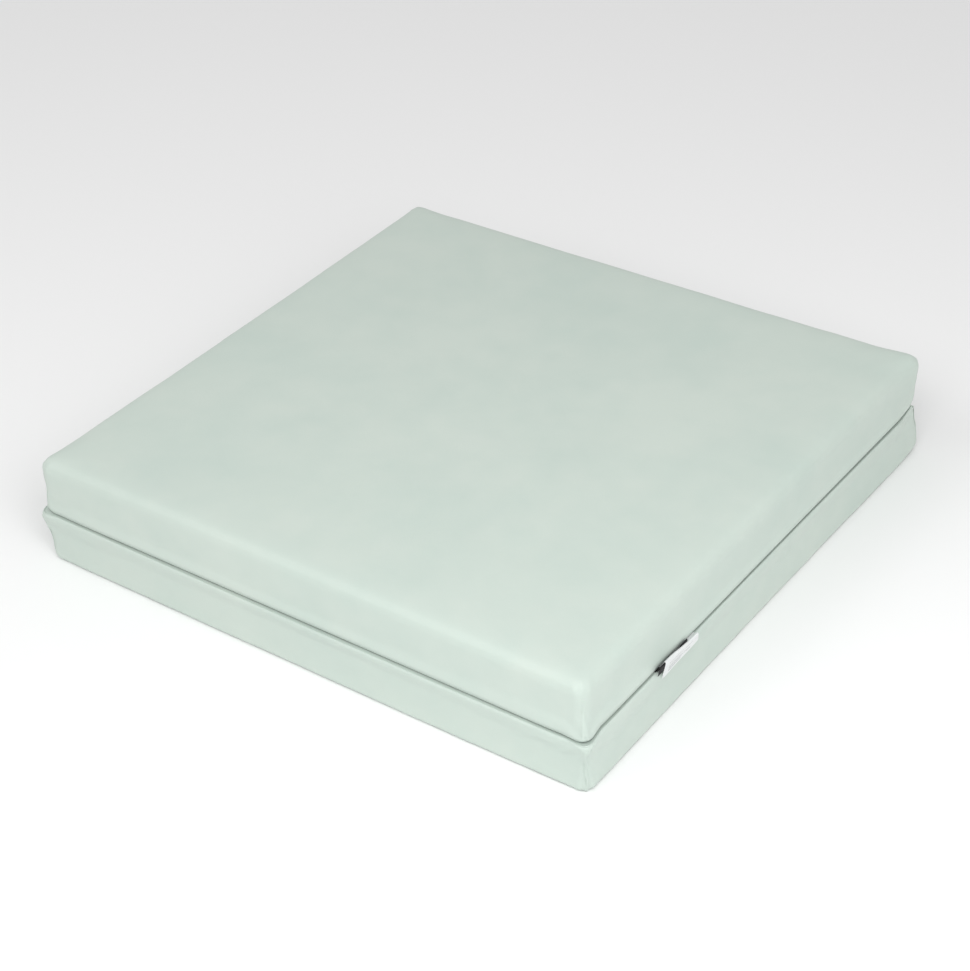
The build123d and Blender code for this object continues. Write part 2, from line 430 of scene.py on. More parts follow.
def make_weave_group():
    """Height and thread mask of a plain weave, from two distances along the cloth."""
    group, given, result = new_group(
        "plain_weave",
        [("Along", "Float", 0.0), ("Across", "Float", 0.0), ("Pitch", "Float", 0.0012)],
        [("Height", "Float")],
    )
    waves = []
    for title in ("Along", "Across"):
        turns = math_node(group, "DIVIDE", given.outputs[title], given.outputs["Pitch"])
        waves.append(math_node(group, "SINE", math_node(group, "MULTIPLY", turns, math.tau)))
    height = math_node(group, "MULTIPLY_ADD", math_node(group, "MULTIPLY", *waves), 0.5, 0.5)
    group.links.new(height, result.inputs["Height"])
    return group


def make_cell_group():
    """Height of foam's open cells, and their colour with painted shade from the same cell pattern."""
    group, given, result = new_group(
        "open_cells",
        [
            ("Vector", "Vector", None),
            ("Cells", "Float", 700.0),
            ("Colour", "Color", rgba(0.8, 0.8, 0.8)),
        ],
        [("Height", "Float"), ("Colour", "Color")],
    )
    cells = group.nodes.new("ShaderNodeTexVoronoi")
    group.links.new(given.outputs["Vector"], cells.inputs["Vector"])
    group.links.new(given.outputs["Cells"], cells.inputs["Scale"])
    group.links.new(cells.outputs["Distance"], result.inputs["Height"])
    # Painted shade: the colour is darkened toward brown by the cell distance, the same value that gives
    # the cells their height.
    cell_shade = math_node(group, "MULTIPLY", cells.outputs["Distance"], 0.45)
    shaded = mix_colour(group, "MULTIPLY", cell_shade, given.outputs["Colour"], rgba(0.55, 0.5, 0.42))
    group.links.new(shaded, result.inputs["Colour"])
    return group


MOTTLE = make_mottle_group()
GRAIN = make_grain_group()
WEAVE = make_weave_group()
CELLS = make_cell_group()


def new_material(name, **constants):
    """A material with its Principled BSDF, set by socket name, and its object coordinates."""
    made = bpy.data.materials.new(name)
    made.use_nodes = True
    tree = made.node_tree
    shader = tree.nodes["Principled BSDF"]
    for title, value in constants.items():
        shader.inputs[title.replace("_", " ")].default_value = value
    place = tree.nodes.new("ShaderNodeTexCoord").outputs["Object"]
    return made, tree, shader, place


def group_node(tree, group, **values):
    node = tree.nodes.new("ShaderNodeGroup")
    node.node_tree = group
    for title, value in values.items():
        feed(tree, node.inputs[title], value)
    return node


def bump(tree, shader, height, depth, strength=1.0):
    node = tree.nodes.new("ShaderNodeBump")
    node.inputs["Distance"].default_value = depth
    node.inputs["Strength"].default_value = strength
    tree.links.new(height, node.inputs["Height"])
    tree.links.new(node.outputs["Normal"], shader.inputs["Normal"])


def coated_fabric(name, colour, shade, roughness, mottle=0.5, grain=900.0, depth=0.25 * MM):
    made, tree, shader, place = new_material(
        name, Specular_IOR_Level=0.4, Sheen_Weight=0.12, Sheen_Roughness=0.45
    )
    look = {"Colour": rgba(*colour), "Shade": rgba(*shade), "Depth": mottle, "Roughness": roughness}
    uneven = group_node(tree, MOTTLE, Vector=place, **look)
    tree.links.new(uneven.outputs["Colour"], shader.inputs["Base Color"])
    tree.links.new(uneven.outputs["Roughness"], shader.inputs["Roughness"])
    surface = group_node(tree, GRAIN, Vector=place, Pitch=grain, Soft=1.2)
    bump(tree, shader, surface.outputs["Height"], depth, 0.6)
    return made


def woven(name, colour, roughness, axes, pitch, depth=0.2 * MM, sheen=0.1):
    """A plain-woven tape whose threads run along two of the object's axes."""
    made, tree, shader, place = new_material(
        name, Sheen_Weight=sheen, Sheen_Roughness=0.4, Specular_IOR_Level=0.35
    )
    split = tree.nodes.new("ShaderNodeSeparateXYZ")
    tree.links.new(place, split.inputs[0])
    threads = group_node(
        tree, WEAVE, Along=split.outputs[axes[0]], Across=split.outputs[axes[1]], Pitch=pitch
    )
    # Painted shade: the colour is darker where the weave is low, in the hollows between the threads.
    hollow_shade = rgba(*(0.78 * part for part in colour))
    shaded = mix_colour(tree, "MIX", threads.outputs["Height"], hollow_shade, rgba(*colour))
    tree.links.new(shaded, shader.inputs["Base Color"])
    uneven = math_node(tree, "MULTIPLY_ADD", noise_node(tree, place, 160.0), 0.15, roughness)
    tree.links.new(uneven, shader.inputs["Roughness"])
    bump(tree, shader, threads.outputs["Height"], depth, 0.7)
    return made


def foam(name, colour, cells):
    made, tree, shader, place = new_material(name, Roughness=0.9, Specular_IOR_Level=0.2)
    surface = group_node(tree, CELLS, Vector=place, Cells=cells, Colour=rgba(*colour))
    tree.links.new(surface.outputs["Colour"], shader.inputs["Base Color"])
    bump(tree, shader, surface.outputs["Height"], 0.4 * MM, 0.8)
    return made


def painted(name, colour, roughness, metallic):
    made, tree, shader, place = new_material(name, Metallic=metallic)
    speckle = noise_node(tree, place, 900.0, 3.0)
    worn = mix_colour(
        tree, "MIX", math_node(tree, "MULTIPLY", speckle, 0.35), rgba(*colour), rgba(0.7, 0.72, 0.7)
    )
    tree.links.new(worn, shader.inputs["Base Color"])
    uneven = math_node(tree, "MULTIPLY_ADD", speckle, 0.25, roughness)
    tree.links.new(uneven, shader.inputs["Roughness"])
    bump(tree, shader, speckle, 0.03 * MM, 0.5)
    return made


COVER = coated_fabric("cover_fabric", (0.57, 0.645, 0.588), (0.90, 0.94, 0.94), 0.48, 0.6)
BASE = coated_fabric("base_fabric", (0.52, 0.59, 0.54), (0.86, 0.9, 0.9), 0.55, grain=620.0)
BINDING = coated_fabric("binding_fabric", (0.55, 0.625, 0.57), (0.87, 0.9, 0.9), 0.5, grain=1300.0)
THREAD = woven("sewing_thread", (0.62, 0.68, 0.63), 0.6, (0, 2), 0.8 * MM)
LABEL = woven("label_satin", (0.86, 0.88, 0.88), 0.5, (1, 2), 0.5 * MM, 0.05 * MM)
PRINT = woven("label_print", (0.42, 0.44, 0.45), 0.6, (1, 2), 0.5 * MM, 0.05 * MM)
RIBBON = woven("ribbon_weave", (0.012, 0.012, 0.014), 0.6, (1, 2), 0.9 * MM, 0.15 * MM, 0.02)
TAPE = woven("zip_tape", (0.50, 0.55, 0.52), 0.65, (0, 2), 0.9 * MM)
SOCK = woven("sock_knit", (0.80, 0.80, 0.75), 0.8, (0, 1), 1.6 * MM)
COIL = painted("zip_coil", (0.46, 0.50, 0.47), 0.35, 0.0)
ZINC = painted("zip_zinc", (0.40, 0.42, 0.41), 0.3, 0.75)
COMFORT = foam("comfort_foam", (0.86, 0.78, 0.55), 800.0)
SUPPORT = foam("base_foam", (0.45, 0.62, 0.78), 520.0)
BOLSTER = foam("bolster_foam", (0.70, 0.72, 0.73), 600.0)


# --- the covers --------------------------------------------------------------------------

VOXEL = 6 * MM
RIM_RADIUS = 2 * MM
RIM_LIP = 1.9 * MM  # the rolled rim's height above the block
RIM_LIP_WIDTH = 9 * MM
RIM_CORNER_POINT = 4 * MM  # distance from a corner within which it points out in full
RIM_CORNER_REACH = 34 * MM  # and beyond which it doesn't point out
RIM_CORNER_DEPTH = 42 * MM  # how far down the corner that goes
RIM_BAND = 36 * MM  # from the rim down, where a corner is pinched
RIM_SHIFT_BAND = 30 * MM
RIM_SHIFT_REACH = 45 * MM  # from a wall inwards
FOOT_BAND_FULL = 15 * MM  # from the lying face up
FOOT_BAND_END = 70 * MM
BOW_START = 0.8  # share of the half width from which a wall bows
CORNER_SHARE = 0.7  # of a corner's diagonal move, along x and along y
PINCH_REACH = 75 * MM  # along the walls, from a corner
CHANNEL_Y = tape_low.y - 0.3 * MM  # the face that the zip's tapes are sewn to
CHANNEL_FLAT = 17 * MM  # half the channel's height, and then to where the wall is full again
CHANNEL_EDGE = 25 * MM
ZIP_END = tape_high.x + 4 * MM
WALL_CAP = 4 * MM  # how far the stretch may move a wall
FACE_CAP = 2 * MM  # and the lying face


def section_extent(section):
    """The section's low and high corners before it swells, as the lower one lies."""
    shape = SECTIONS[section]
    half_x, half_y = END_X + shape["trim_x"], SIDE_Y + shape["trim_y"]
    return Vector((-half_x, -half_y, -shape["face_lift"])), Vector((half_x, half_y, panel_low.z))


def block(section):
    """The section's rounded block, evenly meshed."""
    shape = SECTIONS[section]
    low, high = section_extent(section)
    cover = add_cube(f"{section}_cover", low, high)
    mid_z = (low.z + high.z) / 2
    bevel_edges(
        cover, shape["plan_radius"], 6, lambda ends: (ends[0].z - mid_z) * (ends[1].z - mid_z) < 0
    )
    bevel_edges(
        cover, shape["face_radius"], 5, lambda ends: max(end.z for end in ends) < low.z + 0.1 * MM
    )
    bevel_edges(cover, RIM_RADIUS, 2, lambda ends: min(end.z for end in ends) > high.z - 0.1 * MM)
    use(cover)
    cover.data.remesh_voxel_size = VOXEL
    bpy.ops.object.voxel_remesh()
    return cover


def press_zip_channel(points):
    """Press the channel that the zip lies in into the wall on the +Y side."""
    x, y, z = points.T
    up = 1 - ramp(np.abs(z - ZIP_Z), CHANNEL_FLAT, CHANNEL_EDGE)
    along = 1 - ramp(np.abs(x), ZIP_END, ZIP_END + 30 * MM)
    wall = ramp(y, SIDE_Y - 30 * MM, SIDE_Y - 12 * MM)
    points[:, 1] += up * along * wall * (CHANNEL_Y - y)


def shaped(points, section):
    """Points of the plain block, moved to the section's bowed, pinched and channelled shape."""
    shape = SECTIONS[section]
    low, high = section_extent(section)
    points = points.copy()
    x, y, z = points.T.copy()
    across, along = np.clip(x / high.x, -1, 1), np.clip(y / high.y, -1, 1)
    for (side_x, side_y), bow in shape["bow"].items():
        if side_x:
            points[:, 0] += side_x * bow * (1 - along**2) * ramp(side_x * across, BOW_START, 1)
        else:
            points[:, 1] += side_y * bow * (1 - across**2) * ramp(side_y * along, BOW_START, 1)
    at_rim = ramp(z, high.z - RIM_BAND, high.z)
    at_foot = 1 - ramp(z, low.z + FOOT_BAND_FULL, low.z + FOOT_BAND_END)
    for corner, rim in shape["rim_pinch"].items():
        side_x, side_y = corner
        distance = np.hypot(x - side_x * high.x, y - side_y * high.y)
        near = 1 - ramp(distance, 0.0, PINCH_REACH)
        pull = near * (rim * at_rim + shape["foot_pinch"][corner] * at_foot)
        beside = 1 - ramp(distance, RIM_CORNER_POINT, RIM_CORNER_REACH)
        point_out = shape["rim_corner"][corner] * beside * ramp(z, high.z - RIM_CORNER_DEPTH, high.z)
        points[:, 0] -= side_x * CORNER_SHARE * (pull - point_out)
        points[:, 1] -= side_y * CORNER_SHARE * (pull - point_out)
        points += np.outer(near * at_foot, shape["foot_move"].get(corner, (0, 0, 0)))
    at_seam = ramp(z, high.z - RIM_SHIFT_BAND, high.z)
    for (side_x, side_y), shift in shape["rim_shift"].items():
        inward = (high.x - side_x * x) if side_x else (high.y - side_y * y)
        points[:, 2] += shift * (1 - ramp(inward, 0.0, RIM_SHIFT_REACH)) * at_seam
    press_zip_channel(points)
    return points


def raise_rim(points, section):
    """Roll the rim up past the base panel, so that the folded sections all but meet."""
    high = section_extent(section)[1]
    edge = np.minimum(high.x - np.abs(points[:, 0]), high.y - np.abs(points[:, 1]))
    lip = (1 - ramp(edge, 2 * MM, RIM_LIP_WIDTH)) * ramp(points[:, 2], high.z - 9 * MM, high.z)
    points[:, 2] += RIM_LIP * lip
    return points


def stretch_cover(cover, section):
    """Swell the cover over its core as stretched cloth, held at its base, and keep what is small."""
    low, high = section_extent(section)
    rest = coordinates(cover)
    sewn = cover.vertex_groups.new(name="sewn")
    sewn.add([int(i) for i in np.flatnonzero(rest[:, 2] > high.z - 5 * MM)], 1.0, "REPLACE")
    cloth = cover.modifiers.new("stretch", "CLOTH")
    cloth.settings.quality = 4
    cloth.settings.mass = 0.2
    cloth.settings.tension_stiffness = 12
    cloth.settings.compression_stiffness = 12
    cloth.settings.shear_stiffness = 6
    cloth.settings.bending_stiffness = 2
    cloth.settings.use_pressure = True
    cloth.settings.uniform_pressure_force = 4
    cloth.settings.vertex_group_mass = "sewn"
    cloth.settings.effector_weights.gravity = 0
    for step in range(1, 21):
        scene.frame_set(step)
    swollen = coordinates(cover.evaluated_get(bpy.context.evaluated_depsgraph_get()))
    cover.modifiers.remove(cloth)
    cover.vertex_groups.clear()
    scene.frame_set(1)
    move = swollen - rest
    length = np.linalg.norm(move, axis=1, keepdims=True)
    on_wall = ramp(rest[:, 2:], low.z, low.z + 25 * MM)
    cap = FACE_CAP + (WALL_CAP - FACE_CAP) * on_wall
    set_coordinates(cover, rest + move * np.minimum(1, cap / np.maximum(length, 1e-9)))


def gathers(points, section):
    """How far the cloth puckers at the corners of the lying face, where its darts end."""
    shape = SECTIONS[section]
    low, high = section_extent(section)
    depth = np.zeros(len(points))
    for (side_x, side_y), size in shape["gathers"].items():
        inset = shape["plan_radius"] * 0.3
        away = points - np.array((side_x * (high.x - inset), side_y * (high.y - inset), low.z + 9 * MM))
        beside = (away[:, 1] * side_x - away[:, 0] * side_y) * 0.5**0.5
        outward = (away[:, 0] * side_x + away[:, 1] * side_y) * 0.5**0.5
        spread = (beside / (13 * MM)) ** 2 + (away[:, 2] / (9 * MM)) ** 2 + (outward / (22 * MM)) ** 2
        depth += size * np.exp(-spread) * np.cos(beside * math.tau / (11 * MM))
    return depth


def soften_cover(cover, section):
    """One subdivision, then the cloth's unevenness over the core, and a flat underside."""
    shape = SECTIONS[section]
    high = section_extent(section)[1]
    finer = cover.modifiers.new("finer", "SUBSURF")
    finer.levels = finer.render_levels = 1
    apply_modifiers(cover)
    cover.data.update()
    points = coordinates(cover)
    normals = np.empty(points.size)
    cover.data.vertices.foreach_get("normal", normals)
    normals = normals.reshape(-1, 3)
    waves = np.empty(len(points))
    for index, point in enumerate(points):
        spot = Vector(point) + shape["seed"]
        broad = noise.noise(spot * 7)
        fine = noise.noise(spot * 21)
        pleat = noise.noise(Vector((spot.x * 26, spot.y * 4, spot.z * 20)))
        waves[index] = 0.9 * broad + 0.35 * fine + 0.35 * pleat * max(0.0, point[0] / high.x)
    height = ramp(high.z - points[:, 2], 4 * MM, 16 * MM)
    points += normals * (waves * height * MM + gathers(points, section))[:, None]
    press_zip_channel(points)
    if section == "lower":
        points[:, 2] = np.maximum(points[:, 2], 0.0)
    set_coordinates(cover, points)


def make_cover(section):
    """A section's cover: the block shaped, swollen, softened, and set in its place."""
    cover = block(section)
    set_coordinates(cover, shaped(raise_rim(coordinates(cover), section), section))
    stretch_cover(cover, section)
    soften_cover(cover, section)
    smooth(cover)
    set_in_section(cover, section, COVER, "cover_fabric", "cover_shell")
    return cover


covers = {section: make_cover(section) for section in SECTIONS}

# --- the base panel, its welt and its stitching ------------------------------------------

PANEL_THICKNESS = panel_high.z - panel_low.z
PANEL_INSET = 3 * MM  # its edge lies inside the rolled rim
STITCH_PITCH = 4.5 * MM
STITCH_SIZE = Vector((3.2, 0.8, 0.6)) * MM
HEM = 13 * MM  # from the section's edge to the row of stitches
WELT_HEIGHT = 2.6 * MM
WELT_OVER = 1.3 * MM  # above the base panel's face
WELT_THICKNESS = 1.5 * MM
WELT_SETBACK = 2.2 * MM  # behind the wall


def panel_height(x, y, section):
    """The base panel's middle surface: slightly uneven, and puckered along its sewn edge."""
    shape = SECTIONS[section]
    high = section_extent(section)[1]
    edge = np.minimum(high.x - np.abs(x), high.y - np.abs(y))
    waves = np.empty(len(x))
    for index, (at_x, at_y, from_edge) in enumerate(zip(x, y, edge)):
        spot = Vector((at_x, at_y, 0)) + shape["seed"]
        pucker = noise.noise(spot * 55) * math.exp(-max(from_edge, 0) / 0.03)
        waves[index] = 0.45 * noise.noise(spot * 6) + 0.2 * noise.noise(spot * 19) + 0.55 * pucker
    calm = ramp(edge, 1 * MM, 9 * MM)
    return panel_high.z - PANEL_THICKNESS / 2 + waves * calm * MM


def make_base_panel(section):
    """The flat panel on the section's base, its corners drawn round."""
    shape = SECTIONS[section]
    high = section_extent(section)[1]
    radius = shape["plan_radius"]
    half_x, half_y = high.x - PANEL_INSET, high.y - PANEL_INSET

    def place(u, v):
        x, y = (2 * u - 1) * half_x, (2 * v - 1) * half_y
        over_x, over_y = np.abs(x) - (half_x - radius), np.abs(y) - (half_y - radius)
        away = np.hypot(over_x, over_y)
        outside = (over_x > 0) & (over_y > 0) & (away > radius)
        pull = np.where(outside, radius / np.maximum(away, 1e-9), 1)
        x = np.where(outside, np.sign(x) * (half_x - radius + over_x * pull), x)
        y = np.where(outside, np.sign(y) * (half_y - radius + over_y * pull), y)
        return x, y, panel_height(x, y, section)

    panel = add_sheet(f"{section}_panel", 130, 124, place)
    set_coordinates(panel, shaped(coordinates(panel), section))
    thicken(panel, PANEL_THICKNESS)
    smooth(panel, 50)
    set_in_section(panel, section, BASE, "base_fabric", "base_panel")


def make_welt(section):
    """The bound seam between the walls and the base panel."""
    shape = SECTIONS[section]
    high = section_extent(section)[1]
    top = Vector((high.x - WELT_SETBACK, high.y - WELT_SETBACK, panel_high.z + WELT_OVER))
    welt = add_cube(f"{section}_welt", (-top.x, -top.y, top.z - WELT_HEIGHT), top)
    bevel_edges(welt, shape["plan_radius"], 6, lambda ends: abs(ends[0].z - ends[1].z) > 1 * MM)
    edit(welt, "polygons", lambda face: abs(face.normal.z) > 0.5)
    bpy.ops.mesh.delete(type="ONLY_FACE")
    edit(welt, "edges", lambda ends: (ends[0] - ends[1]).length > 0.1)
    bpy.ops.mesh.subdivide(number_cuts=60)
    use(welt)
    set_coordinates(welt, shaped(coordinates(welt), section))
    thicken(welt, WELT_THICKNESS, 0.2, 0.6 * MM)
    smooth(welt, 60)
    set_in_section(welt, section, BINDING, "welt_binding", "seam_welt")


def stitch_row(start, along, count):
    """A straight row of stitches from start, along a horizontal direction."""
    stitch = add_cube("stitch", -STITCH_SIZE / 2, STITCH_SIZE / 2)
    bevel_edges(stitch, 0.25 * MM, 1)
    use(stitch)
    stitch.rotation_euler = (0, 0, math.atan2(along.y, along.x))
    stitch.location = start
    bpy.ops.object.transform_apply(location=True, rotation=True, scale=True)
    repeat(stitch, count, along * STITCH_PITCH)
    return stitch


def make_panel_stitching(section):
    """The row of stitches that holds the base panel's hem, just inside the welt."""
    shape = SECTIONS[section]
    high = section_extent(section)[1]
    half = Vector((high.x - HEM, high.y - HEM, 0))
    from_corner = 0.6 * shape["plan_radius"]
    rows = []
    for side in (-1, 1):
        count = int(2 * (half.x - from_corner) / STITCH_PITCH)
        start = Vector((from_corner - half.x, side * half.y, 0))
        rows.append(stitch_row(start, Vector((1, 0, 0)), count))
        count = int(2 * (half.y - from_corner) / STITCH_PITCH)
        start = Vector((side * half.x, from_corner - half.y, 0))
        rows.append(stitch_row(start, Vector((0, 1, 0)), count))
    stitching = join(f"{section}_panel_stitching", rows)
    settle_on_panel(stitching, section)
    smooth(stitching, 40)
    set_in_section(stitching, section, THREAD, "welt_binding")


def settle_on_panel(stitching, section):
    """Lay the stitches on the uneven panel, upright as they were."""
    points = coordinates(stitching)
    surface = panel_height(points[:, 0], points[:, 1], section) + PANEL_THICKNESS / 2
    points[:, 2] += surface + 0.05 * MM
    moved = shaped(points, section)
    moved[:, 2] = points[:, 2]
    set_coordinates(stitching, moved)


for section in SECTIONS:
    make_base_panel(section)
    make_welt(section)
    make_panel_stitching(section)

# --- the corner seams --------------------------------------------------------------------

SEAM_WIDTH = 5 * MM
SEAM_TIP = 1.6 * MM  # how far the turned-out allowance stands out at the rim


def make_corner_seams(section):
    """A ridge of turned-in seam down each corner, and a small turned-out tip by the welt."""
    shape = SECTIONS[section]
    low, high = section_extent(section)
    radius = shape["plan_radius"]
    cover = covers[section]
    seams = []
    for side_x, side_y in CORNERS:
        outward = Vector((side_x, side_y, 0)).normalized()
        beside = Vector((-outward.y, outward.x, 0))
        middle = Vector((side_x * (high.x - radius), side_y * (high.y - radius), 0)) + outward * radius

        def place(u, v):
            wander = (0.9 * np.sin(v * 7 + side_x) + 0.5 * np.sin(v * 17 + side_y)) * MM
            spot = (u - 0.5) * SEAM_WIDTH + wander
            foot = low.z + shape["face_radius"] + 5 * MM
            height = foot + v * (high.z + 1 * MM - foot)
            return middle.x + beside.x * spot, middle.y + beside.y * spot, height

        seam = add_sheet("seam", 10, 34, place)
        to_section(seam, section)
        hug(seam, cover, 0.15 * MM, "ABOVE_SURFACE")
        points = coordinates(seam)
        across = points[:, 0] * beside.x + points[:, 1] * beside.y
        rows = points[:, 2]
        lift = np.zeros(len(points))
        for level in np.unique(np.round(rows, 4)):
            same = np.abs(rows - level) < 1.2 * MM
            centre = (across[same].max() + across[same].min()) / 2
            here = np.abs(rows - level) < 0.1 * MM
            lift[here] = np.cos(np.clip((across[here] - centre) / SEAM_WIDTH, -0.5, 0.5) * math.pi) ** 2
        level = rows if section == "lower" else 2 * FOLD_Z - rows
        end = ramp(level, level.min(), level.min() + 8 * MM)
        tip = SEAM_TIP * ramp(level, level.max() - 7 * MM, level.max() - 1 * MM)
        points += np.array(outward) * (lift * (end * shape["seam_proud"] + tip))[:, None]
        set_coordinates(seam, points)
        thicken(seam, 0.5 * MM)
        seams.append(seam)
    corner_seams = join(f"{section}_seams", seams)
    smooth(corner_seams, 60)
    finish_piece(corner_seams, COVER, "cover_fabric", f"{section}_section", f"{section}_corner_seams")


for section in SECTIONS:
    make_corner_seams(section)

# --- the core, inside the covers ---------------------------------------------------------

CORE_INSET = 13 * MM  # from the cover's shell to the fire sock
SOCK_THICKNESS = 0.5 * MM
SOCK_HEM = 80 * MM
SOCK_LOW = 3 * MM  # the sock's height over the lying face
CORE_GAP = 0.4 * MM  # between neighbouring foams
FOAM_INSET = 1.2 * MM  # from the sock's outside to the foams
BLOCKS_ALONG, BLOCKS_ACROSS = 14, 12
GROOVE_WIDTH = 6 * MM
GROOVE_DEPTH = 24 * MM


def core_block(name, low, high, rounding):
    """A foam block whose edges are rounded, divided finely enough to look cut by hand."""
    foam_block = add_cube(name, low, high)
    bevel_edges(foam_block, rounding, 3)
    bpy.ops.mesh.select_all(action="SELECT")
    bpy.ops.mesh.subdivide(number_cuts=3)
    use(foam_block)
    smooth(foam_block, 40)
    return foam_block


def make_fire_sock(section):
    """The knitted sock, open in the middle of its base, where it turns over the base foam."""
    half_x, half_y = END_X - CORE_INSET, SIDE_Y - CORE_INSET
    top = panel_low.z - 2 * MM
    sock = add_cube(f"{section}_sock", (-half_x, -half_y, SOCK_LOW), (half_x, half_y, top))
    bevel_edges(sock, 16 * MM, 5, lambda ends: abs(ends[0].z - ends[1].z) > 10 * MM)
    bevel_edges(sock, 10 * MM, 4, lambda ends: max(end.z for end in ends) < 4 * MM)
    edit(sock, "polygons", lambda face: face.normal.z > 0.9)
    bpy.ops.mesh.inset(thickness=SOCK_HEM)
    bpy.ops.mesh.delete(type="FACE")
    use(sock)
    thicken(sock, SOCK_THICKNESS, -1)
    smooth(sock, 40)
    set_in_section(sock, section, SOCK, "fire_sock_knit", "fire_sock")


def make_foams(section):
    """The block-cut comfort foam on the lying side, the base foam over it, and the bolsters."""
    low = Vector((CORE_INSET - END_X, CORE_INSET - SIDE_Y, SOCK_LOW)) + Vector((1, 1, 1)) * FOAM_INSET
    high = Vector((-low.x, -low.y, panel_low.z - 4 * MM))
    inner_y = comfort_high.y
    foam_y = inner_y - CORE_GAP
    bolsters = []
    for side in (-1, 1):
        near_y, far_y = sorted((side * inner_y, side * high.y))
        bolsters.append(core_block("bolster", (low.x, near_y, low.z), (high.x, far_y, high.z), 9 * MM))
    pieces = [(join(f"{section}_bolsters", bolsters), BOLSTER, "bolster_foam", "side_bolsters")]
    slab_low = (low.x, -foam_y, comfort_high.z + CORE_GAP)
    slab = core_block(f"{section}_base_slab", slab_low, (high.x, foam_y, high.z), 2 * MM)
    pieces.append((slab, SUPPORT, "base_foam", "base_foam"))

    comfort = add_sheet(
        f"{section}_comfort_blocks",
        BLOCKS_ALONG,
        BLOCKS_ACROSS,
        lambda u, v: ((2 * u - 1) * high.x, (1 - 2 * v) * foam_y, low.z + GROOVE_DEPTH),
    )
    edit(comfort, "polygons", lambda face: True)
    bpy.ops.mesh.inset(thickness=GROOVE_WIDTH / 2, use_individual=True)
    bpy.ops.mesh.extrude_region_move(TRANSFORM_OT_translate={"value": (0, 0, -GROOVE_DEPTH)})
    bpy.ops.mesh.select_mode(type="EDGE")
    bpy.ops.mesh.select_all(action="DESELECT")
    bpy.ops.mesh.select_non_manifold()
    bpy.ops.mesh.extrude_region_move(
        TRANSFORM_OT_translate={"value": (0, 0, comfort_high.z - low.z - GROOVE_DEPTH)}
    )
    bpy.ops.mesh.edge_face_add()
    use(comfort)
    soften_edges(comfort, 1.2 * MM)
    apply_modifiers(comfort)
    turn_outward(comfort)
    smooth(comfort, 50)
    pieces.append((comfort, COMFORT, "comfort_foam", "comfort_foam"))
    for piece, material, slot_name, node in pieces:
        set_in_section(piece, section, material, slot_name, node)


for section in SECTIONS:
    make_fire_sock(section)
    make_foams(section)

# --- the zips ----------------------------------------------------------------------------

FACING_WIDTH = 11.5 * MM
SLOT_HALF = (chain_high.z - chain_low.z) / 2 + 0.8 * MM
TOOTH_PITCH = 2.1 * MM
TOOTH_SIZE = Vector((1.3, 2.0, 3.2)) * MM
TOOTH_OFFSET = 1.25 * MM  # of a tooth's middle from the zip's line
TAPE_EDGE = 0.7 * MM  # of a tape from the zip's line
TAPE_BEAD = 0.45 * MM  # height of the bead by that edge
FACING_THICKNESS = 0.9 * MM


def make_zip(section):
    """A cover's zip: its tapes, the facing sewn round them, the coil and the metal parts."""

    def tape(side):
        outer = (tape_high.z - tape_low.z) / 2

        def place(u, v):
            spot = TAPE_EDGE + v * (outer - TAPE_EDGE)
            bead = TAPE_BEAD * np.exp(-((spot - TAPE_EDGE - 1.2 * MM) / (1.1 * MM)) ** 2)
            x = tape_low.x + u * (tape_high.x - tape_low.x)
            return x, tape_low.y + bead + 0.25 * MM, ZIP_Z + side * spot

        return add_sheet("tape", 60, 14, place)

    tapes = join(f"{section}_tapes", [tape(-1), tape(1)])
    thicken(tapes, 0.45 * MM)
    smooth(tapes, 50)
    set_in_section(tapes, section, TAPE, "zip_tape", "zip_tapes")

    half_length, half_height = tape_high.x + 2 * MM, SLOT_HALF + FACING_WIDTH
    facing_y = tape_high.y + 0.1 * MM
    facing = add_sheet(
        f"{section}_zip_facing",
        1,
        1,
        lambda u, v: ((1 - 2 * u) * half_length, facing_y, ZIP_Z + (2 * v - 1) * half_height),
    )
    edit(facing, "polygons", lambda face: True)
    bpy.ops.mesh.inset(thickness=FACING_WIDTH)
    bpy.ops.mesh.delete(type="FACE")
    use(facing)
    thicken(facing, FACING_THICKNESS, 1, 0.4 * MM)
    smooth(facing, 50)
    set_in_section(facing, section, BINDING, "cover_fabric")

    rows = []
    for side in (-1, 1):
        start_x = chain_low.x + TOOTH_PITCH * (0.5 if side > 0 else 1)
        middle = Vector((start_x, (chain_low.y + chain_high.y) / 2, ZIP_Z + side * TOOTH_OFFSET))
        tooth = add_cube("tooth", middle - TOOTH_SIZE / 2, middle + TOOTH_SIZE / 2)
        bevel_edges(tooth, 0.4 * MM, 1)
        use(tooth)
        repeat(tooth, int((chain_high.x - chain_low.x) / TOOTH_PITCH) - 1, (TOOTH_PITCH, 0, 0))
        rows.append(tooth)
    coil = join(f"{section}_coil", rows)
    smooth(coil, 60)
    set_in_section(coil, section, COIL, "zip_coil", "zip_chain")

    for node in ("zip_stops", "zip_slider", "zip_pull"):
        metal = bpy.data.objects[f"{section}_{node}"]
        metal.data.materials.clear()
        metal.data.materials.append(ZINC)
        weld = metal.modifiers.new("weld", "WELD")
        weld.merge_threshold = 0.01 * MM
        soften_edges(metal, 0.18 * MM, 2, 35)


for section in SECTIONS:
    make_zip(section)

# --- the hinge web, the care label and the ribbon ----------------------------------------

